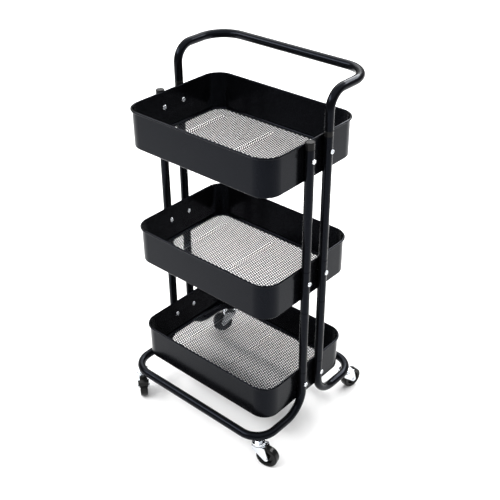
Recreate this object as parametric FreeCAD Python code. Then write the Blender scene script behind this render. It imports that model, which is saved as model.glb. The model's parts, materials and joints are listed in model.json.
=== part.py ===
import FreeCAD, Part
import math
import os

# Three-tier rolling pantry cart, millimetres.
# Drawn about the middle of the frame, then moved so that the origin is on the floor under
# the middle of the whole outline, casters included. +X runs along the long side, +Y points
# to the handle side, +Z up.

V = FreeCAD.Vector
X_AXIS, Y_AXIS, Z_AXIS = V(1, 0, 0), V(0, 1, 0), V(0, 0, 1)
ORIGIN = V(0, 0, 0)

# ---- driving dimensions -------------------------------------------------------
OUTLINE_MIDDLE = V(7.1, 1.8, 0)     # middle of the outline, from the middle of the frame

TUBE_R = 9.5                # 19 mm round tube
TUBE_WALL = 1.0
SPIGOT_LENGTH = 22.0        # swaged end that plugs into the tube below
SPIGOT_PLAY = 0.15
SEAM_GAP = 1.2              # groove left where one tube meets the next
SEAM_DEPTH = 0.7

BASKET_HALF_X = 191.5       # outer faces of the walls
BASKET_HALF_Y = 139.5
BASKET_CORNER_R = 38.5
BASKET_DEPTH = 85.0
SHEET = 1.0
BOTTOM_EDGE_R = 4.0
FLANGE_WIDTH = 8.5          # bottom flange, from the outer wall face inwards
BEAD_R = 2.25               # rolled rim
BEAD_OUT = 1.25             # bead centre, outwards from the outer wall face
RIM_Z = {"bottom": 185.0, "middle": 453.0, "top": 732.0}
SCREW_BELOW_RIM = 35.5

FLOOR_THICKNESS = 1.2
FLOOR_INSET = 5.0           # floor panel edge, from the outer wall face inwards

POST_CLEARANCE = 0.05       # between a tube and the basket wall
POST_X = BASKET_HALF_X + POST_CLEARANCE + TUBE_R
POST_Y = 28.5
STUB_TOP_Z = 181.5          # top of the base frame's upturned ends
LOWER_POST_TOP_Z = 343.5
MIDDLE_POST_TOP_Z = 446.0
FRONT_POST_TOP_Z = 719.0
REAR_POST_TOP_Z = 726.5
CAP_PLUG_LENGTH = 11.0
CAP_TOP_Z = 735.0
CAP_EDGE_R = 1.8
COLLAR_TOP_Z = 738.0
COLLAR_CHAMFER = 0.6

BASE_Z = 74.0               # tube centre line
BASE_HALF_Y = 174.0
BASE_CORNER_R = 50.0
BASE_BEND_R = 55.0

HANDLE_Z = 815.0
HANDLE_Y = 165.0
HANDLE_CORNER_R = 60.0
HANDLE_BEND_R = 38.0

SCREW_R = 2.5
SCREW_HEAD_R = 5.2
SCREW_HEAD_H = 2.6
NUT_SLEEVE_R = 3.4
NUT_SLEEVE_LENGTH = 6.0
NUT_HEAD_R = 5.3
NUT_HEAD_H = 1.9
HOLE_PLAY = 0.2
HEAD_ROUNDING = 0.6         # edge radius of a screw head, as a share of its height
RECESS_LENGTH = 5.4         # cross recess
RECESS_WIDTH = 1.4
RECESS_DEPTH = 1.2

WHEEL_R = 25.0
TREAD_WIDTH = 18.0
TREAD_INNER_R = 18.5
TREAD_SHOULDER_R = 3.0
HUB_HALF_WIDTH = 10.6
HUB_R = 6.0
CORE_WEB_HALF = 3.5
CORE_RIM_HALF = 8.0
CORE_RIM_DEPTH = 3.0
CORE_DRAFT = 1.0
AXLE_R = 3.0
AXLE_HEAD_R = 4.6
AXLE_HEAD_H = 1.6
RIVET_ROUNDING = 0.7        # edge radius of a rivet head, as a share of its height
RUNNING_FIT = 0.07
PRESS_FIT = 0.03
CASTER_TRAIL = 22.0
LEG_INNER = 11.4            # half distance between the fork legs
FORK_SHEET = 1.6
CROWN_TOP_Z = 54.0
CROWN_R = 15.5
CROWN_BACK = 11.0           # reach of the legs behind the swivel axis
CROWN_FRONT = 19.5          # and ahead of it
CROWN_BACK_DROP = 9.0       # upright part of the legs' rear edge
CROWN_BACK_LEAN = 1.0
LEG_TIP_R = 6.0
KINGPIN_R = 3.5
KINGPIN_HEAD_R = 6.0
KINGPIN_HEAD_H = 1.8
KINGPIN_PLAY = 0.3
CUP_R = 15.0
CUP_EDGE_R = 2.2
CUP_SKIRT_Z = 55.2
CUP_TOP_Z = 59.6
HEX_ACROSS = 15.0
STEM_R = 4.0
STEM_TOP_Z = 79.0
BALL_R = 1.7
BALL_CIRCLE_R = 10.5
BALL_COUNT = 16
BALL_PLAY = 0.15

BRAKE_PIN_U = 34.0          # brake pivot, along the trail and above the floor
BRAKE_PIN_Z = 50.0
BRAKE_PIN_R = 1.6
BRAKE_EAR_R = 4.2
BRAKE_HEAD_R = 2.8
BRAKE_HEAD_H = 1.0
LEVER_HALF = 11.0           # half widths
LEVER_SHEET = 1.5
NECK_HALF = 9.0
PAD_HALF = 12.7
PAD_EDGE_R = 0.9
# side views as (along the trail, height) from the brake pivot
LEVER_CHEEK_VIEW = (
    (-6.0, 6.6), (9.0, 6.6), (17.5, 4.4), (17.5, 2.0), (9.5, 0.4),
    (8.0, -3.4), (3.4, -2.6), (-4.0, 1.8), (-6.0, 4.0),
)
LEVER_PLATE_VIEW = ((-6.0, 6.6), (9.0, 6.6), (17.5, 4.4), (17.5, 2.9), (8.7, 5.1), (-6.0, 5.1))
LEVER_SHOE_VIEW = ((3.8, -3.0), (8.0, -3.0), (8.0, -1.5), (3.8, -1.5))
PAD_VIEW = (
    (7.0, 8.4), (16.5, 6.8), (19.6, 4.0), (19.6, -0.2), (18.2, -1.2), (8.0, -1.6), (7.0, -1.2),
)
NECK_VIEW = ((-5.0, 6.6), (8.0, 6.6), (8.0, 7.7), (-3.8, 8.4), (-5.0, 7.6))

# direction each fork trails, degrees from +X
CASTERS = {
    "front_right": 15.0,
    "front_left": -40.0,
    "rear_right": 80.0,
    "rear_left": -124.5,
}
BRAKED = ("front_left",)
SIDES = {
    "front_left": (-1, -1),
    "front_right": (1, -1),
    "rear_left": (-1, 1),
    "rear_right": (1, 1),
}
CUT_PAST = 1.0              # how far a cutting shape runs past the face it cuts


# ---- helpers ------------------------------------------------------------------
def rounded_outline(half_x, half_y, radius, z):
    """Closed wire of a rectangle with round corners, starting at mid right side."""
    edges = []
    quarter = math.sin(math.pi / 4)
    corners = ((1, 1), (-1, 1), (-1, -1), (1, -1))
    points = []
    for sx, sy in corners:
        centre = V(sx * (half_x - radius), sy * (half_y - radius), z)
        along_x = centre + V(sx * radius, 0, 0)
        along_y = centre + V(0, sy * radius, 0)
        middle = centre + V(sx * radius * quarter, sy * radius * quarter, 0)
        first, last = (along_x, along_y) if sx * sy > 0 else (along_y, along_x)
        points.append((first, middle, last))
    for index, (first, middle, last) in enumerate(points):
        edges.append(Part.Arc(first, middle, last).toShape())
        following = points[(index + 1) % len(points)][0]
        edges.append(Part.makeLine(last, following))
    return Part.Wire(edges)


def rounded_block(half_x, half_y, radius, z_low, z_high):
    """Upright block with round vertical corners."""
    face = Part.Face(rounded_outline(half_x, half_y, radius, z_low))
    return face.extrude(V(0, 0, z_high - z_low))


def bent_path(points, radii):
    """Wire of straight runs through the points, with tangent arcs at the inner points."""
    edges = []
    start = points[0]
    for before, corner, after, radius in zip(points, points[1:], points[2:], radii):
        back = (before - corner).normalize()
        ahead = (after - corner).normalize()
        half_angle = back.getAngle(ahead) / 2
        reach = radius / math.tan(half_angle)
        first = corner + back * reach
        last = corner + ahead * reach
        bisector = (back + ahead).normalize()
        middle = corner + bisector * (radius / math.sin(half_angle) - radius)
        edges.append(Part.makeLine(start, first))
        edges.append(Part.Arc(first, middle, last).toShape())
        start = last
    edges.append(Part.makeLine(start, points[-1]))
    return Part.Wire(edges)


def swept_rod(path, start, direction, radius):
    circle = Part.Wire(Part.Circle(start, direction, radius).toShape())
    return path.makePipeShell([circle], True, False)


def bent_tube(points, radii):
    """Hollow round tube along a bent path."""
    path = bent_path(points, radii)
    direction = (points[1] - points[0]).normalize()
    outer = swept_rod(path, points[0], direction, TUBE_R)
    inner = swept_rod(path, points[0], direction, TUBE_R - TUBE_WALL)
    return outer.cut(inner)


def upright_tube(outer_r, inner_r, x, y, z_low, z_high):
    base = V(x, y, z_low)
    height = z_high - z_low
    outer = Part.makeCylinder(outer_r, height, base, Z_AXIS)
    return outer.cut(Part.makeCylinder(inner_r, height, base, Z_AXIS))


def fused(shapes):
    """One clean solid from overlapping shapes."""
    result = shapes[0].fuse(list(shapes[1:])).removeSplitter()
    return result.Solids[0] if len(result.Solids) == 1 else result


def round_point(centre, radius, degrees):
    """Point at an angle on an upright circle in the XZ plane."""
    turn = math.radians(degrees)
    return centre + V(radius * math.cos(turn), 0, radius * math.sin(turn))


def placed(shape, angle, x, y):
    """Copy of a caster piece turned about the swivel axis and moved to its corner."""
    copy = shape.copy()
    copy.rotate(ORIGIN, Z_AXIS, angle)
    copy.translate(V(x, y, 0))
    return copy


def save(name, shape):
    solids = shape.Solids
    for solid in solids:
        if not solid.isValid() or solid.Volume <= 0:
            raise ValueError("bad solid in " + name)
    out = solids[0] if len(solids) == 1 else Part.makeCompound(solids)
    out.translate(OUTLINE_MIDDLE * -1)
    out.exportStep("parts/" + name + ".step")


# ---- frame --------------------------------------------------------------------
def spigot(x, y, joint_z):
    """Swaged end that plugs into the tube below joint_z, with the neck that leaves the seam."""
    outer_r = TUBE_R - TUBE_WALL - SPIGOT_PLAY
    inner_r = outer_r - TUBE_WALL
    plug = upright_tube(outer_r, inner_r, x, y, joint_z - SPIGOT_LENGTH, joint_z)
    neck_top = joint_z + SEAM_GAP + TUBE_WALL
    neck = upright_tube(TUBE_R - SEAM_DEPTH, inner_r, x, y, joint_z, neck_top)
    return [plug, neck]


def screw_bore(x, y, z):
    """Through hole for a basket screw: narrow on the outside, wide on the basket side."""
    side = 1 if x > 0 else -1
    direction = V(side, 0, 0)
    narrow = Part.makeCylinder(SCREW_R + HOLE_PLAY, 2 * TUBE_R, V(x, y, z), direction)
    wide = Part.makeCylinder(NUT_SLEEVE_R + HOLE_PLAY, 2 * TUBE_R, V(x, y, z), direction * -1)
    return narrow.fuse(wide)


def post_tube(x, y, z_low, z_high, basket):
    body = upright_tube(TUBE_R, TUBE_R - TUBE_WALL, x, y, z_low + SEAM_GAP, z_high)
    tube = fused([body] + spigot(x, y, z_low))
    if basket:
        tube = tube.cut(screw_bore(x, y, RIM_Z[basket] - SCREW_BELOW_RIM))
    return tube


def base_frame(side_y):
    """U-shaped base tube: post stub, down and out, round the end and back up."""
    y_post = side_y * POST_Y
    y_end = side_y * BASE_HALF_Y
    points = [
        V(POST_X, y_post, STUB_TOP_Z),
        V(POST_X, y_post, BASE_Z),
        V(POST_X, y_end, BASE_Z),
        V(-POST_X, y_end, BASE_Z),
        V(-POST_X, y_post, BASE_Z),
        V(-POST_X, y_post, STUB_TOP_Z),
    ]
    radii = [BASE_BEND_R, BASE_CORNER_R, BASE_CORNER_R, BASE_BEND_R]
    tube = bent_tube(points, radii)
    for side_x in (-1, 1):
        tube = tube.cut(screw_bore(side_x * POST_X, y_post, RIM_Z["bottom"] - SCREW_BELOW_RIM))
        x, y = caster_place(side_x, side_y)
        hole_start = V(x, y, BASE_Z - TUBE_R - CUT_PAST)
        tube = tube.cut(Part.makeCylinder(STEM_R + HOLE_PLAY, TUBE_R, hole_start, Z_AXIS))
    return tube


def handle():
    """Push handle: up from the rear posts, bent back level, round corners, cross bar."""
    tube_end_z = COLLAR_TOP_Z + SEAM_GAP
    points = [
        V(POST_X, POST_Y, tube_end_z),
        V(POST_X, POST_Y, HANDLE_Z),
        V(POST_X, HANDLE_Y, HANDLE_Z),
        V(-POST_X, HANDLE_Y, HANDLE_Z),
        V(-POST_X, POST_Y, HANDLE_Z),
        V(-POST_X, POST_Y, tube_end_z),
    ]
    radii = [HANDLE_BEND_R, HANDLE_CORNER_R, HANDLE_CORNER_R, HANDLE_BEND_R]
    shapes = [bent_tube(points, radii)]
    for side_x in (-1, 1):
        shapes += spigot(side_x * POST_X, POST_Y, COLLAR_TOP_Z)
    return fused(shapes)


def post_cap(x, y):
    """Plastic end cap: plug inside the post and a body flush with it, rounded on top."""
    plug_r = TUBE_R - TUBE_WALL - SPIGOT_PLAY
    plug_start = V(x, y, FRONT_POST_TOP_Z - CAP_PLUG_LENGTH)
    plug = Part.makeCylinder(plug_r, CAP_PLUG_LENGTH + SEAM_GAP + CUT_PAST, plug_start, Z_AXIS)
    body_low = FRONT_POST_TOP_Z + SEAM_GAP
    body = Part.makeCylinder(TUBE_R, CAP_TOP_Z - body_low, V(x, y, body_low), Z_AXIS)
    body = body.makeFillet(CAP_EDGE_R, [e for e in body.Edges if e.BoundBox.ZMin > CAP_TOP_Z - 0.1])
    neck = Part.makeCylinder(TUBE_R - SEAM_DEPTH, SEAM_GAP, V(x, y, FRONT_POST_TOP_Z), Z_AXIS)
    return fused([plug, body, neck])


def post_collar(x, y):
    """Plastic ring between a rear post and the handle."""
    ring = upright_tube(TUBE_R, TUBE_R - TUBE_WALL, x, y, REAR_POST_TOP_Z, COLLAR_TOP_Z)
    outer = [e for e in ring.Edges if e.Closed and e.BoundBox.XLength > 2 * TUBE_R - 0.1]
    return ring.makeChamfer(COLLAR_CHAMFER, outer)


# ---- baskets ------------------------------------------------------------------
def bottom_rounded(block, radius):
    """Round the edge loop around the underside of a block."""
    low = block.BoundBox.ZMin
    edges = [e for e in block.Edges if e.BoundBox.ZMax - low < 1e-6]
    return block.makeFillet(radius, edges)


def basket(rim_z):
    """Pressed sheet basket with rolled rim and an open bottom with a flange."""
    low = rim_z - BASKET_DEPTH
    wall_top = rim_z - BEAD_R
    outer = rounded_block(BASKET_HALF_X, BASKET_HALF_Y, BASKET_CORNER_R, low, wall_top)
    inner = rounded_block(
        BASKET_HALF_X - SHEET,
        BASKET_HALF_Y - SHEET,
        BASKET_CORNER_R - SHEET,
        low + SHEET,
        wall_top + CUT_PAST,
    )
    shell = bottom_rounded(outer, BOTTOM_EDGE_R).cut(bottom_rounded(inner, BOTTOM_EDGE_R - SHEET))
    mouth = rounded_block(
        BASKET_HALF_X - FLANGE_WIDTH,
        BASKET_HALF_Y - FLANGE_WIDTH,
        BASKET_CORNER_R - FLANGE_WIDTH,
        low - CUT_PAST,
        low + SHEET + CUT_PAST,
    )
    shell = shell.cut(mouth)
    bead = rim_bead(rim_z)
    for side_x, side_y in SIDES.values():
        z = rim_z - SCREW_BELOW_RIM
        start = V(side_x * (BASKET_HALF_X - 2 * SHEET), side_y * POST_Y, z)
        hole = Part.makeCylinder(NUT_SLEEVE_R + HOLE_PLAY, 3 * SHEET, start, V(side_x, 0, 0))
        shell = shell.cut(hole)
    return fused([shell, bead])


def rim_bead(rim_z):
    """Rolled rim, pressed in where it passes each post."""
    z = rim_z - BEAD_R
    path = rounded_outline(
        BASKET_HALF_X + BEAD_OUT, BASKET_HALF_Y + BEAD_OUT, BASKET_CORNER_R + BEAD_OUT, z
    )
    start = path.Edges[0].valueAt(path.Edges[0].FirstParameter)
    circle = Part.Wire(Part.Circle(start, Y_AXIS, BEAD_R).toShape())
    bead = path.makePipeShell([circle], True, False)
    for side_x, side_y in SIDES.values():
        centre = V(side_x * POST_X, side_y * POST_Y, z - 2 * BEAD_R)
        bead = bead.cut(Part.makeCylinder(TUBE_R + 2 * POST_CLEARANCE, 4 * BEAD_R, centre, Z_AXIS))
    return bead


def basket_floor(rim_z):
    """Floor panel resting on the bottom flange."""
    low = rim_z - BASKET_DEPTH + SHEET
    return rounded_block(
        BASKET_HALF_X - FLOOR_INSET,
        BASKET_HALF_Y - FLOOR_INSET,
        BASKET_CORNER_R - FLOOR_INSET,
        low,
        low + FLOOR_THICKNESS,
    )


def pan_head(radius, height):
    """Screw head lying on the YZ plane, rounded on the +X side, with a cross recess."""
    head = Part.makeCylinder(radius, height, ORIGIN, X_AXIS)
    rim = [e for e in head.Edges if e.BoundBox.XMin > height / 2]
    head = head.makeFillet(height * HEAD_ROUNDING, rim)
    for along, across in ((RECESS_LENGTH, RECESS_WIDTH), (RECESS_WIDTH, RECESS_LENGTH)):
        corner = V(height - RECESS_DEPTH, -along / 2, -across / 2)
        head = head.cut(Part.makeBox(RECESS_DEPTH + CUT_PAST, along, across, corner))
    return head


def facing(shape, side_x, x, y, z):
    """Place a fastener drawn along +X so that its head looks to side_x."""
    copy = shape.copy()
    if side_x < 0:
        copy.rotate(ORIGIN, Z_AXIS, 180)
    copy.translate(V(x, y, z))
    return copy


def basket_screw():
    """Pan-head screw, its shank ending level with the basket's inner face."""
    reach = 2 * TUBE_R + POST_CLEARANCE
    shank = Part.makeCylinder(SCREW_R, reach, V(-reach, 0, 0), X_AXIS)
    return fused([pan_head(SCREW_HEAD_R, SCREW_HEAD_H), shank])


def basket_nut():
    """Sleeve nut: round head inside the basket, sleeve through wall and tube."""
    far_end = V(-NUT_SLEEVE_LENGTH, 0, 0)
    sleeve = Part.makeCylinder(NUT_SLEEVE_R, NUT_SLEEVE_LENGTH, far_end, X_AXIS)
    nut = fused([pan_head(NUT_HEAD_R, NUT_HEAD_H), sleeve])
    return nut.cut(Part.makeCylinder(SCREW_R + RUNNING_FIT, NUT_SLEEVE_LENGTH, far_end, X_AXIS))


def basket_fasteners(rim_z):
    """Four screws and four sleeve nuts of one basket."""
    z = rim_z - SCREW_BELOW_RIM
    screw = basket_screw()
    nut = basket_nut()
    screws = []
    nuts = []
    for side_x, side_y in SIDES.values():
        y = side_y * POST_Y
        screws.append(facing(screw, side_x, side_x * (POST_X + TUBE_R), y, z))
        nuts.append(facing(nut, -side_x, side_x * (BASKET_HALF_X - SHEET), y, z))
    return Part.makeCompound(screws), Part.makeCompound(nuts)


# ---- casters, drawn at the origin with the fork trailing along +X ---------------
def caster_place(side_x, side_y):
    """Swivel axis: under the middle of the base tube's corner bend."""
    inset = BASE_CORNER_R * (1 - math.cos(math.pi / 4))
    return side_x * (POST_X - inset), side_y * (BASE_HALF_Y - inset)


def hexagon_block(across, z_low, z_high):
    corner_r = across / math.sqrt(3)
    corners = []
    for i in range(7):
        turn = i * math.pi / 3
        corners.append(V(corner_r * math.cos(turn), corner_r * math.sin(turn), z_low))
    return Part.Face(Part.makePolygon(corners)).extrude(V(0, 0, z_high - z_low))


def caster_stem():
    """Kingpin, upper raceway cup, hexagon and threaded stem."""
    head_top = CROWN_TOP_Z - FORK_SHEET - KINGPIN_PLAY
    head_low = V(0, 0, head_top - KINGPIN_HEAD_H)
    head = Part.makeCylinder(KINGPIN_HEAD_R, KINGPIN_HEAD_H, head_low, Z_AXIS)
    pin = Part.makeCylinder(KINGPIN_R, CUP_TOP_Z - head_top, V(0, 0, head_top), Z_AXIS)
    skirt = V(0, 0, CUP_SKIRT_Z)
    cup = Part.makeCylinder(CUP_R, CUP_TOP_Z - CUP_SKIRT_Z, skirt, Z_AXIS)
    top_edges = [e for e in cup.Edges if e.BoundBox.ZMin > CUP_TOP_Z - 0.1]
    cup = cup.makeFillet(CUP_EDGE_R, top_edges)
    hollow_height = CROWN_TOP_Z + BALL_PLAY + 2 * BALL_R - CUP_SKIRT_Z
    cup = cup.cut(Part.makeCylinder(CUP_R - FORK_SHEET, hollow_height, skirt, Z_AXIS))
    stem_low = BASE_Z - TUBE_R
    hexagon = hexagon_block(HEX_ACROSS, CUP_TOP_Z, stem_low)
    stem = Part.makeCylinder(STEM_R, STEM_TOP_Z - stem_low, V(0, 0, stem_low), Z_AXIS)
    return fused([head, pin, cup, hexagon, stem])


def ball_ring():
    z = CROWN_TOP_Z + BALL_R + BALL_PLAY
    balls = []
    for i in range(BALL_COUNT):
        angle = 2 * math.pi * i / BALL_COUNT
        centre = V(BALL_CIRCLE_R * math.cos(angle), BALL_CIRCLE_R * math.sin(angle), z)
        balls.append(Part.makeSphere(BALL_R, centre))
    return Part.makeCompound(balls)


def leg_outline(braked):
    """Side view of a fork leg: wide at the crown, round the axle at the tip."""
    axle = V(CASTER_TRAIL, 0, WHEEL_R)
    top_back = V(-CROWN_BACK, 0, CROWN_TOP_Z)
    mid_back = V(CROWN_BACK_LEAN - CROWN_BACK, 0, CROWN_TOP_Z - CROWN_BACK_DROP)
    tip_back = round_point(axle, LEG_TIP_R, 214)
    tip_low = round_point(axle, LEG_TIP_R, 273)
    tip_front = round_point(axle, LEG_TIP_R, 360)
    top_front = V(CROWN_FRONT, 0, CROWN_TOP_Z)
    edges = [
        Part.makeLine(top_back, mid_back),
        Part.makeLine(mid_back, tip_back),
        Part.Arc(tip_back, tip_low, tip_front).toShape(),
    ]
    if braked:
        pivot = V(BRAKE_PIN_U, 0, BRAKE_PIN_Z)
        ear_low = round_point(pivot, BRAKE_EAR_R, 242)
        ear_side = round_point(pivot, BRAKE_EAR_R, 360)
        ear_top = round_point(pivot, BRAKE_EAR_R, 103)
        edges.append(Part.makeLine(tip_front, ear_low))
        edges.append(Part.Arc(ear_low, ear_side, ear_top).toShape())
        edges.append(Part.makeLine(ear_top, top_front))
    else:
        edges.append(Part.makeLine(tip_front, top_front))
    edges.append(Part.makeLine(top_front, top_back))
    return Part.Wire(edges)


def caster_fork(braked):
    """Stamped fork: crown plate with raised centre and two legs."""
    legs = []
    for side in (-1, 1):
        leg = Part.Face(leg_outline(braked)).extrude(V(0, side * FORK_SHEET, 0))
        leg.translate(V(0, side * LEG_INNER, 0))
        legs.append(leg)
    half_width = LEG_INNER + FORK_SHEET
    crown_low = CROWN_TOP_Z - FORK_SHEET
    corner = V(-CROWN_BACK, -half_width, crown_low)
    plate = Part.makeBox(CROWN_BACK + CROWN_FRONT, 2 * half_width, FORK_SHEET, corner)
    disc = Part.makeCylinder(CROWN_R, FORK_SHEET, V(0, 0, crown_low), Z_AXIS)
    fork = fused([plate, disc] + legs)
    pin_hole_start = V(0, 0, crown_low - CUT_PAST)
    pin_hole_length = FORK_SHEET + 2 * CUT_PAST
    fork = fork.cut(Part.makeCylinder(KINGPIN_R + RUNNING_FIT, pin_hole_length, pin_hole_start, Z_AXIS))
    fork = fork.cut(cross_bore(AXLE_R + PRESS_FIT, half_width, CASTER_TRAIL, WHEEL_R))
    if braked:
        fork = fork.cut(cross_bore(BRAKE_PIN_R + PRESS_FIT, half_width, BRAKE_PIN_U, BRAKE_PIN_Z))
    return fork


def cross_bore(radius, half_width, u, z):
    """Cutter across the fork, u along the trail and z above the floor."""
    start = V(u, -half_width - CUT_PAST, z)
    return Part.makeCylinder(radius, 2 * (half_width + CUT_PAST), start, Y_AXIS)


def rivet(radius, head_r, head_h, u, z):
    """Rivet across both fork legs with a rounded head on each side."""
    half_width = LEG_INNER + FORK_SHEET
    shank = Part.makeCylinder(radius, 2 * half_width, V(u, -half_width, z), Y_AXIS)
    shapes = [shank]
    for side in (-1, 1):
        head = Part.makeCylinder(head_r, head_h, V(u, side * half_width, z), V(0, side, 0))
        outer = [e for e in head.Edges if abs(e.BoundBox.Center.y) > half_width + head_h - 0.1]
        shapes.append(head.makeFillet(head_h * RIVET_ROUNDING, outer))
    return fused(shapes)


def revolved_about_axle(points):
    """Turn a half section of (radius, offset along the axle) points about the wheel axle."""
    axle = V(CASTER_TRAIL, 0, WHEEL_R)
    corners = [axle + V(0, offset, radius) for radius, offset in points]
    face = Part.Face(Part.makePolygon(corners + [corners[0]]))
    return face.revolve(axle, Y_AXIS, 360)


def wheel_core():
    """Moulded wheel body: rim, thin web and hub with an axle bore."""
    rim_low = TREAD_INNER_R - CORE_RIM_DEPTH
    section = [
        (AXLE_R + RUNNING_FIT, -HUB_HALF_WIDTH),
        (HUB_R, -HUB_HALF_WIDTH),
        (HUB_R + CORE_DRAFT, -CORE_WEB_HALF),
        (rim_low - CORE_DRAFT, -CORE_WEB_HALF),
        (rim_low, -CORE_RIM_HALF),
        (TREAD_INNER_R, -CORE_RIM_HALF),
    ]
    mirrored = [(radius, -offset) for radius, offset in reversed(section)]
    return revolved_about_axle(section + mirrored)


def wheel_tread():
    """Rubber tread ring with rounded shoulders."""
    half = TREAD_WIDTH / 2
    section = [(TREAD_INNER_R, -half), (WHEEL_R, -half), (WHEEL_R, half), (TREAD_INNER_R, half)]
    ring = revolved_about_axle(section)
    shoulders = [e for e in ring.Edges if e.BoundBox.ZLength > 2 * WHEEL_R - 0.1 and e.Closed]
    return ring.makeFillet(TREAD_SHOULDER_R, shoulders)


def side_plate(outline, half_width):
    """Block with the given side view as (along the trail, height) from the brake pivot."""
    pin = V(BRAKE_PIN_U, -half_width, BRAKE_PIN_Z)
    corners = [pin + V(along, 0, height) for along, height in outline]
    return Part.Face(Part.makePolygon(corners + [corners[0]])).extrude(V(0, 2 * half_width, 0))


def brake_lever():
    """Stamped lever: top plate, two cheeks on the pivot and a shoe over the tread."""
    inside = side_plate(LEVER_CHEEK_VIEW, LEVER_HALF - LEVER_SHEET)
    cheeks = side_plate(LEVER_CHEEK_VIEW, LEVER_HALF).cut(inside)
    plate = side_plate(LEVER_PLATE_VIEW, LEVER_HALF)
    shoe = side_plate(LEVER_SHOE_VIEW, LEVER_HALF)
    lever = fused([plate, shoe] + cheeks.Solids)
    return lever.cut(cross_bore(BRAKE_PIN_R + RUNNING_FIT, LEVER_HALF, BRAKE_PIN_U, BRAKE_PIN_Z))


def brake_pedal():
    """Moulded pedal: wide pad on the lever's end and a neck along its top plate."""
    pad = side_plate(PAD_VIEW, PAD_HALF)
    pad = pad.makeFillet(PAD_EDGE_R, pad.Edges)
    return fused([pad, side_plate(NECK_VIEW, NECK_HALF)]).cut(brake_lever())


# ---- build --------------------------------------------------------------------
def build_frame():
    save("base_frame_front", base_frame(-1))
    save("base_frame_rear", base_frame(1))
    for name, (side_x, side_y) in SIDES.items():
        x, y = side_x * POST_X, side_y * POST_Y
        top = FRONT_POST_TOP_Z if side_y < 0 else REAR_POST_TOP_Z
        save("lower_post_" + name, post_tube(x, y, STUB_TOP_Z, LOWER_POST_TOP_Z, None))
        save("middle_post_" + name, post_tube(x, y, LOWER_POST_TOP_Z, MIDDLE_POST_TOP_Z, "middle"))
        save("upper_post_" + name, post_tube(x, y, MIDDLE_POST_TOP_Z, top, "top"))
        if side_y < 0:
            save("post_cap_" + name, post_cap(x, y))
        else:
            save("post_collar_" + name, post_collar(x, y))
    save("handle", handle())


def build_baskets():
    for tier, rim_z in RIM_Z.items():
        save("basket_" + tier, basket(rim_z))
        save("basket_floor_" + tier, basket_floor(rim_z))
        screws, nuts = basket_fasteners(rim_z)
        save("basket_screws_" + tier, screws)
        save("basket_nuts_" + tier, nuts)


def build_casters():
    rings = []
    for name, angle in CASTERS.items():
        x, y = caster_place(*SIDES[name])
        braked = name in BRAKED
        axle = rivet(AXLE_R, AXLE_HEAD_R, AXLE_HEAD_H, CASTER_TRAIL, WHEEL_R)
        pieces = {
            "caster_stem_": caster_stem(),
            "caster_fork_": caster_fork(braked),
            "wheel_axle_": axle,
            "wheel_core_": wheel_core(),
            "wheel_tread_": wheel_tread(),
        }
        if braked:
            pin = rivet(BRAKE_PIN_R, BRAKE_HEAD_R, BRAKE_HEAD_H, BRAKE_PIN_U, BRAKE_PIN_Z)
            pieces["brake_pin_"] = pin
            pieces["brake_lever_"] = brake_lever()
            pieces["brake_pedal_"] = brake_pedal()
        for prefix, shape in pieces.items():
            save(prefix + name, placed(shape, angle, x, y))
        rings.append(placed(ball_ring(), angle, x, y))
    save("swivel_balls", Part.makeCompound(rings))


os.makedirs("parts", exist_ok=True)
build_frame()
build_baskets()
build_casters()
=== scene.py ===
import json
import math

import bpy
from mathutils import Matrix, Vector

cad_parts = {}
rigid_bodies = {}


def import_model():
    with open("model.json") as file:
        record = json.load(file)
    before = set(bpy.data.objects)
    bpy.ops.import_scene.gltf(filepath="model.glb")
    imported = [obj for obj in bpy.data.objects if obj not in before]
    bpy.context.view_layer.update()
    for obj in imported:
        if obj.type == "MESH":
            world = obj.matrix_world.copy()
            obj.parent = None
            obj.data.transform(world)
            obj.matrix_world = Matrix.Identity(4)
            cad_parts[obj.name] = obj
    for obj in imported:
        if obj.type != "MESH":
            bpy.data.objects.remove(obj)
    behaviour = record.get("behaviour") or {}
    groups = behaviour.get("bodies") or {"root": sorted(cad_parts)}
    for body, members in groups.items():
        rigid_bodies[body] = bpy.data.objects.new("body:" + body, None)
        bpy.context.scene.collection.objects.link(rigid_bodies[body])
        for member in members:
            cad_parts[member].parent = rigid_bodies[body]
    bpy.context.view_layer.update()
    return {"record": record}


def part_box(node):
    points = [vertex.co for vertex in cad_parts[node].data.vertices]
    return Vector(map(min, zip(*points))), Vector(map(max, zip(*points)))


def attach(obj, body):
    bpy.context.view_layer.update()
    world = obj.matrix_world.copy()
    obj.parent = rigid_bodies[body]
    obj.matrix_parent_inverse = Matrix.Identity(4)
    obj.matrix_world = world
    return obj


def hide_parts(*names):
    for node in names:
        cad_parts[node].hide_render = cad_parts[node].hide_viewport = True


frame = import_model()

RECORD = frame["record"]
TIERS = ("bottom", "middle", "top")


# ---- materials ------------------------------------------------------------------
PATCH_SCALE = 22.0          # mottled patches per metre
SCUFF_SHARE = 0.18          # scuffs per metre as a share of the grain
WAVE_DEPTH = 2.0            # height of the slow waviness, in grain depths
NOISE_LOW, NOISE_HIGH = 0.3, 0.7


def set_inputs(node, values):
    """Sets shader sockets; an underscore in a name stands for a space."""
    for key, value in values.items():
        node.inputs[key.replace("_", " ")].default_value = value


def new_node(tree, kind, **values):
    node = tree.nodes.new(kind)
    set_inputs(node, values)
    return node


def noise(tree, coords, scale, detail, roughness):
    node = new_node(tree, "ShaderNodeTexNoise", Scale=scale, Detail=detail, Roughness=roughness)
    tree.links.new(coords, node.inputs["Vector"])
    return node.outputs["Fac"]


def ramp(tree, factor, low, high):
    """Colour ramp between two colours."""
    node = tree.nodes.new("ShaderNodeValToRGB")
    first, last = node.color_ramp.elements
    first.position, last.position = NOISE_LOW, NOISE_HIGH
    first.color, last.color = (*low, 1.0), (*high, 1.0)
    tree.links.new(factor, node.inputs["Fac"])
    return node.outputs["Color"]


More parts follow.
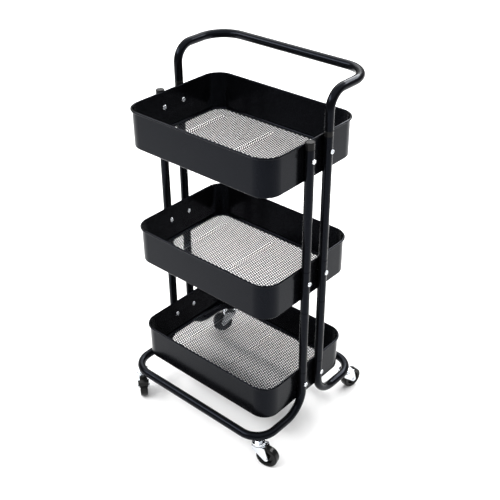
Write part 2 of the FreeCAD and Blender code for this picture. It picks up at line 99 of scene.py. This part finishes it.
def spread(tree, factor, low, high):
    """The noise factor stretched over low to high."""
    node = new_node(
        tree, "ShaderNodeMapRange", From_Min=NOISE_LOW, From_Max=NOISE_HIGH, To_Min=low, To_Max=high
    )
    tree.links.new(factor, node.inputs["Value"])
    return node.outputs["Result"]


def bumps(tree, heights, shader):
    """Chain of bump nodes from (height, depth in metres) pairs into the shader's normal."""
    normal = None
    for height, depth in heights:
        node = new_node(tree, "ShaderNodeBump", Strength=1.0, Distance=depth)
        tree.links.new(height, node.inputs["Height"])
        if normal is not None:
            tree.links.new(normal, node.inputs["Normal"])
        normal = node.outputs["Normal"]
    tree.links.new(normal, shader.inputs["Normal"])


def surface(name, dark, light, roughness, grain, depth, metallic=0.0, **sockets):
    """Procedural surface: mottled colour, uneven roughness, fine grain and slow waviness.

    roughness is a (low, high) pair, grain the number of grains per metre, depth their height.
    """
    made = bpy.data.materials.new(name)
    made.use_nodes = True
    tree = made.node_tree
    shader = tree.nodes["Principled BSDF"]
    shader.inputs["Metallic"].default_value = metallic
    set_inputs(shader, sockets)
    place = tree.nodes.new("ShaderNodeTexCoord").outputs["Object"]
    patches = noise(tree, place, PATCH_SCALE, detail=5.0, roughness=0.6)
    fine = noise(tree, place, grain, detail=2.0, roughness=0.5)
    scuffs = noise(tree, place, grain * SCUFF_SHARE, detail=8.0, roughness=0.7)
    tree.links.new(ramp(tree, patches, dark, light), shader.inputs["Base Color"])
    tree.links.new(spread(tree, scuffs, *roughness), shader.inputs["Roughness"])
    bumps(tree, [(fine, depth), (patches, depth * WAVE_DEPTH)], shader)
    return made


POWDER_COAT = surface(
    "powder_coat", (0.0015, 0.0016, 0.0020), (0.0026, 0.0027, 0.0033), (0.13, 0.20), 900.0, 0.000008,
    Specular_IOR_Level=0.088, Specular_Tint=(0.66, 0.76, 1.0, 1.0),
)
MESH_COAT = surface(
    "mesh_coat", (0.003, 0.0034, 0.0045), (0.006, 0.0066, 0.008), (0.24, 0.34), 900.0, 0.00001,
    Specular_IOR_Level=0.10, Specular_Tint=(0.70, 0.80, 1.0, 1.0),
)
ZINC = surface(
    "zinc_plate", (0.60, 0.63, 0.67), (0.80, 0.82, 0.85), (0.14, 0.30), 380.0, 0.00001, metallic=1.0,
)
PLASTIC = surface(
    "black_plastic", (0.004, 0.004, 0.004), (0.007, 0.007, 0.007), (0.18, 0.30), 1400.0, 0.00001,
    Specular_IOR_Level=0.13,
)
RUBBER = surface(
    "black_rubber", (0.004, 0.004, 0.004), (0.008, 0.008, 0.008), (0.14, 0.26), 900.0, 0.00002,
    Specular_IOR_Level=0.13,
)
FINISHES = {"powder_coat": POWDER_COAT, "zinc": ZINC, "black_plastic": PLASTIC, "black_rubber": RUBBER}


def dress(obj, made):
    obj.data.materials.clear()
    obj.data.materials.append(made)


for part in RECORD["subparts"]:
    dress(bpy.data.objects[part["node"]], FINISHES[part["material_slot"]])


# ---- mesh floors ------------------------------------------------------------------
def make_piece(name, verts, faces, made, body, node):
    """New mesh object on a body, in place of a CAD node."""
    mesh = bpy.data.meshes.new(name)
    mesh.from_pydata(verts, [], faces)
    mesh.validate()
    mesh.update()
    obj = bpy.data.objects.new(name, mesh)
    bpy.context.scene.collection.objects.link(obj)
    mesh.materials.append(made)
    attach(obj, body)
    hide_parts(node)


# Sizes are in metres.
MESH_LONG = 0.0121          # diamond, the long way
MESH_SHORT = 0.00565        # diamond, the short way
STRAND_WIDTH = 0.00190
STRAND_THICKNESS = 0.0008
HOLE_TIP_SHARE = 0.86       # where a hole's long tips and blunt sides lie, as shares of the opening
HOLE_SIDE_SHARE = 0.14
CREASE_DEPTH = 0.0034
CREASE_COLUMNS = (-23, 0, 23)
CREASE_HALF_LENGTH = 0.106
CREASE_FADE = 0.008         # length over which a crease runs out
FRAME_WIDTH = 0.0025
FRAME_OUTER_BEVEL = 0.0005
FRAME_INNER_BEVEL = 0.0006
FRAME_SHOULDER = 0.4        # height of the bevels, as a share of half the thickness
PANEL_CORNER = 0.0335
CORNER_STEPS = 14


def clamp_to_outline(x, y, half_x, half_y, radius):
    """Nearest point inside a rectangle with round corners."""
    x = max(-half_x, min(half_x, x))
    y = max(-half_y, min(half_y, y))
    over_x = abs(x) - (half_x - radius)
    over_y = abs(y) - (half_y - radius)
    if over_x > 0 and over_y > 0:
        reach = math.hypot(over_x, over_y)
        if reach > radius:
            x = math.copysign(half_x - radius + over_x * radius / reach, x)
            y = math.copysign(half_y - radius + over_y * radius / reach, y)
    return x, y


def crease(x, y):
    """Height of the panel: flat, with shallow V creases across it."""
    fade = max(0.0, min(1.0, (CREASE_HALF_LENGTH - abs(y)) / CREASE_FADE))
    nearest = min(abs(x - column * MESH_LONG / 2) for column in CREASE_COLUMNS)
    return -CREASE_DEPTH * fade * max(0.0, 1.0 - nearest / (MESH_LONG / 2))


def diamond_panel(half_x, half_y, radius):
    """Vertices and faces of an expanded metal sheet about the origin."""
    a, b = MESH_LONG / 2, MESH_SHORT / 2
    to_side = a * b / math.hypot(a, b)
    opening = (to_side - STRAND_WIDTH / 2) / to_side
    tip, side = HOLE_TIP_SHARE * opening, HOLE_SIDE_SHARE * opening
    verts, index, faces = [], {}, []

    def vertex(key, x, y, layer):
        if (key, layer) not in index:
            x, y = clamp_to_outline(x, y, half_x, half_y, radius)
            index[(key, layer)] = len(verts)
            verts.append((x, y, crease(x, y) - layer * STRAND_THICKNESS))
        return index[(key, layer)]

    columns = int(half_x / a) + 1
    rows = int(half_y / b) + 1
    for i in range(-columns, columns + 1):
        for j in range(-rows, rows + 1):
            if (i + j) % 2 == 0:
                continue
            cx, cy = i * a, j * b
            if clamp_to_outline(cx, cy, half_x, half_y, radius) != (cx, cy):
                continue
            corners = [(i + 1, j), (i, j + 1), (i - 1, j), (i, j - 1)]
            inner = [
                (tip, -side), (tip, side), (0.0, opening), (-tip, side), (-tip, -side), (0.0, -opening),
            ]
            rings = []
            for layer in (0, 1):
                outer = [vertex(c, c[0] * a, c[1] * b, layer) for c in corners]
                hole = [
                    vertex((i, j, n), cx + u * a, cy + v * b, layer) for n, (u, v) in enumerate(inner)
                ]
                rings.append((outer, hole))
            for layer, (outer, hole) in enumerate(rings):
                east, north, west, south = outer
                strips = [
                    (hole[0], east, hole[1]),
                    (east, north, hole[2], hole[1]),
                    (north, west, hole[3], hole[2]),
                    (hole[3], west, hole[4]),
                    (west, south, hole[5], hole[4]),
                    (south, east, hole[0], hole[5]),
                ]
                for strip in strips:
                    faces.append(strip if layer == 0 else tuple(reversed(strip)))
            top, bottom = rings[0][1], rings[1][1]
            for n in range(6):
                following = (n + 1) % 6
                faces.append((top[n], top[following], bottom[following], bottom[n]))
    return verts, faces


def outline_points(half_x, half_y, radius):
    """Points round a rectangle with round corners, counter-clockwise."""
    points = []
    for quadrant, (sx, sy) in enumerate(((1, 1), (-1, 1), (-1, -1), (1, -1))):
        for step in range(CORNER_STEPS + 1):
            angle = (quadrant + step / CORNER_STEPS) * math.pi / 2
            points.append((
                sx * (half_x - radius) + radius * math.cos(angle),
                sy * (half_y - radius) + radius * math.sin(angle),
            ))
    return points


def outline_band(half_x, half_y, radius, profile):
    """Closed profile of (inset, height) pairs carried round the outline."""
    verts, faces = [], []
    loops = [outline_points(half_x - inset, half_y - inset, radius - inset) for inset, _ in profile]
    count = len(loops[0])
    for loop, (_, height) in zip(loops, profile):
        verts += [(x, y, height) for x, y in loop]
    for row in range(len(profile)):
        above = (row + 1) % len(profile)
        for n in range(count):
            m = (n + 1) % count
            faces.append((row * count + n, row * count + m, above * count + m, above * count + n))
    return verts, faces


def mesh_floor(tier):
    """Expanded metal panel with its flat frame, in the space of a basket's floor sheet."""
    node = "basket_floor_" + tier
    low, high = (Vector(corner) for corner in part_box(node))
    middle = (low + high) / 2
    half_x, half_y = (high.x - low.x) / 2, (high.y - low.y) / 2
    inset = FRAME_WIDTH / 2
    verts, faces = diamond_panel(half_x - inset, half_y - inset, PANEL_CORNER - inset)
    sheet_top = (low.z + high.z) / 2 - middle.z + STRAND_THICKNESS / 2
    verts = [(x, y, z + sheet_top) for x, y, z in verts]
    base = len(verts)
    thick = (high.z - low.z) / 2
    shoulder = thick * FRAME_SHOULDER
    profile = [
        (0.0, -thick), (0.0, shoulder),
        (FRAME_OUTER_BEVEL, thick), (FRAME_WIDTH - FRAME_INNER_BEVEL, thick),
        (FRAME_WIDTH, shoulder), (FRAME_WIDTH, -thick),
    ]
    rim_verts, rim_faces = outline_band(half_x, half_y, PANEL_CORNER, profile)
    verts += rim_verts
    faces += [tuple(base + n for n in face) for face in rim_faces]
    verts = [tuple(Vector(v) + middle) for v in verts]
    make_piece("mesh_floor_" + tier, verts, faces, MESH_COAT, "frame", node)


for tier in TIERS:
    mesh_floor(tier)


# ---- floor, light and camera ----------------------------------------------------------
basket_low, basket_high = (Vector(corner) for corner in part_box("basket_top"))
CART = Vector(((basket_low.x + basket_high.x) / 2, (basket_low.y + basket_high.y) / 2, 0.0))


STAGE_HALF = 40.0
STAGE_COLOUR = (0.93, 0.93, 0.93, 1.0)
STAGE_ROUGHNESS = 0.85
STAGE_SPECULAR = 0.1
WORLD_COLOUR = (1.0, 1.0, 1.0, 1.0)
WORLD_STRENGTH = 0.38
# Name, place and aim from the middle of the cart, size in metres, watts.
LIGHTS = (
    ("overhead_bank", (0.0, 0.0, 3.6), (0, 0, 0), (8.0, 8.0), 270.0),
    ("backdrop_bank", (-2.6, 3.2, 3.2), (-2.6, 3.2, 0), (5.0, 5.0), 190.0),
    ("front_strip", (-1.2, -1.8, 2.4), (0, 0, 0.6), (2.6, 0.80), 75.0),
    ("back_strip", (0.2, 2.2, 2.3), (0, 0, 0.6), (2.6, 0.40), 60.0),
)


def stage_floor():
    far = STAGE_HALF
    corners = [(-far, -far, 0), (far, -far, 0), (far, far, 0), (-far, far, 0)]
    mesh = bpy.data.meshes.new("studio_floor")
    mesh.from_pydata(corners, [], [(0, 1, 2, 3)])
    obj = bpy.data.objects.new("studio_floor", mesh)
    bpy.context.scene.collection.objects.link(obj)
    made = bpy.data.materials.new("studio_floor")
    made.use_nodes = True
    shader = made.node_tree.nodes["Principled BSDF"]
    shader.inputs["Base Color"].default_value = STAGE_COLOUR
    shader.inputs["Roughness"].default_value = STAGE_ROUGHNESS
    shader.inputs["Specular IOR Level"].default_value = STAGE_SPECULAR
    mesh.materials.append(made)


def area_light(name, place, aim, size, power):
    light = bpy.data.lights.new(name, "AREA")
    light.shape = "RECTANGLE"
    light.size, light.size_y = size
    light.energy = power
    obj = bpy.data.objects.new(name, light)
    obj.location = CART + Vector(place)
    direction = CART + Vector(aim) - obj.location
    obj.rotation_euler = direction.to_track_quat("-Z", "Y").to_euler()
    bpy.context.scene.collection.objects.link(obj)


def studio():
    scene = bpy.context.scene
    world = bpy.data.worlds.new("studio")
    world.use_nodes = True
    background = world.node_tree.nodes["Background"]
    background.inputs["Color"].default_value = WORLD_COLOUR
    background.inputs["Strength"].default_value = WORLD_STRENGTH
    scene.world = world
    scene.view_settings.view_transform = "Standard"
    for light in LIGHTS:
        area_light(*light)


CAMERA_PLACE = (1.07894, -1.19748, 1.42276)
CAMERA_AIM = (-0.00670, -0.00162, 0.40827)
CAMERA_ROLL = math.radians(-0.878)
SENSOR_WIDTH = 36.0
LENS = 62.05
SHIFT_X, SHIFT_Y = 0.0225, -0.0077
CLIP_END = 100.0


def camera():
    data = bpy.data.cameras.new("camera")
    data.sensor_width = SENSOR_WIDTH
    data.lens = LENS
    data.shift_x, data.shift_y = SHIFT_X, SHIFT_Y
    data.clip_end = CLIP_END
    obj = bpy.data.objects.new("camera", data)
    place = CART + Vector(CAMERA_PLACE)
    direction = CART + Vector(CAMERA_AIM) - place
    turn = direction.to_track_quat("-Z", "Y").to_matrix().to_4x4()
    obj.matrix_world = Matrix.Translation(place) @ turn @ Matrix.Rotation(CAMERA_ROLL, 4, "Z")
    bpy.context.scene.collection.objects.link(obj)
    bpy.context.scene.camera = obj


stage_floor()
studio()
camera()
